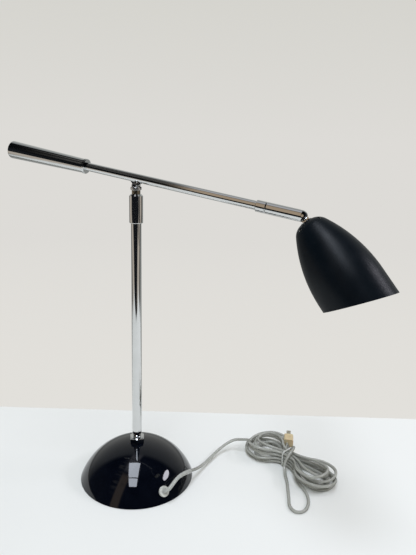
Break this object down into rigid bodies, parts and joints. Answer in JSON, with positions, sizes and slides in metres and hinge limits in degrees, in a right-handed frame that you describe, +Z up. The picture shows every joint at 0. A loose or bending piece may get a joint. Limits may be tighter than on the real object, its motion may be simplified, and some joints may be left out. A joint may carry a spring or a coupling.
{
  "type": "counterbalanced desk lamp",
  "caption": "Desk lamp with a domed base, a swivelling post top, a tilting counterweighted arm, a turning bullet shade and a tied hank of clear cord.",
  "frame": {"origin": "centre of the base on the table, on the post's axis", "axes": "+Z up along the post, +X the way the arm points to the shade, so +Y is away from the viewer's side"},
  "size_m": [0.4924, 0.2439, 0.4399],
  "materials": {
    "black_enamel": "gloss",
    "grey_iron": "matte",
    "zinc_steel": "satin",
    "grey_felt": "matte",
    "bright_chrome": "polished",
    "neck_brass": "satin",
    "satin_black": "satin",
    "holder_phenolic": "satin",
    "contact_brass": "satin",
    "pearl_glass": "gloss",
    "clear_vinyl": "gloss",
    "ivory_plastic": "satin"
  },
  "bodies": {
    "stand": {"base_dome": "black_enamel", "base_weight": "grey_iron", "base_plate": "zinc_steel", "base_felt": "grey_felt", "base_nipple": "zinc_steel", "base_lock_washer": "zinc_steel", "base_lock_nut": "zinc_steel", "base_hex_nut": "bright_chrome", "post_tube": "bright_chrome", "post_sleeve": "bright_chrome", "swivel_bush": "neck_brass", "cord_gland": "clear_vinyl", "cord_relief": "clear_vinyl", "cord_lead": "clear_vinyl", "cord_hank": "clear_vinyl", "hank_tie": "clear_vinyl", "plug_body": "ivory_plastic", "plug_blades": "contact_brass"},
    "swivel": {"swivel_fork": "bright_chrome", "swivel_clip": "zinc_steel", "tilt_pin": "bright_chrome"},
    "arm": {"arm_rod": "bright_chrome", "arm_lug": "bright_chrome", "counterweight": "bright_chrome", "weight_collar": "bright_chrome", "arm_collar": "bright_chrome"},
    "head": {"head_sleeve": "bright_chrome", "head_retainer": "zinc_steel", "shade_pin": "bright_chrome"},
    "shade_unit": {"shade_tongue": "bright_chrome", "shade": "satin_black", "shade_nut": "zinc_steel", "lampholder": "holder_phenolic", "holder_shell": "contact_brass", "bulb_cap": "contact_brass", "bulb_glass": "pearl_glass"}
  },
  "joints": [
    {"name": "post_swivel", "type": "hinge", "parent": "stand", "child": "swivel", "pos_m": [0, 0, 0.3884], "axis": [0, 0, 1], "range_deg": [-170, 170]},
    {"name": "arm_tilt", "type": "hinge", "parent": "swivel", "child": "arm", "pos_m": [0, 0, 0.3939], "axis": [0, 1, 0], "range_deg": [-50, 33]},
    {"name": "head_roll", "type": "hinge", "parent": "arm", "child": "head", "pos_m": [0.20332, 0, 0.37276], "axis": [0.9894, 0, -0.1452], "range_deg": [-150, 150]},
    {"name": "shade_tilt", "type": "hinge", "parent": "head", "child": "shade_unit", "pos_m": [0.20332, 0, 0.37276], "axis": [0.0327, -0.9744, 0.2226], "range_deg": [-38, 118]}
  ]
}
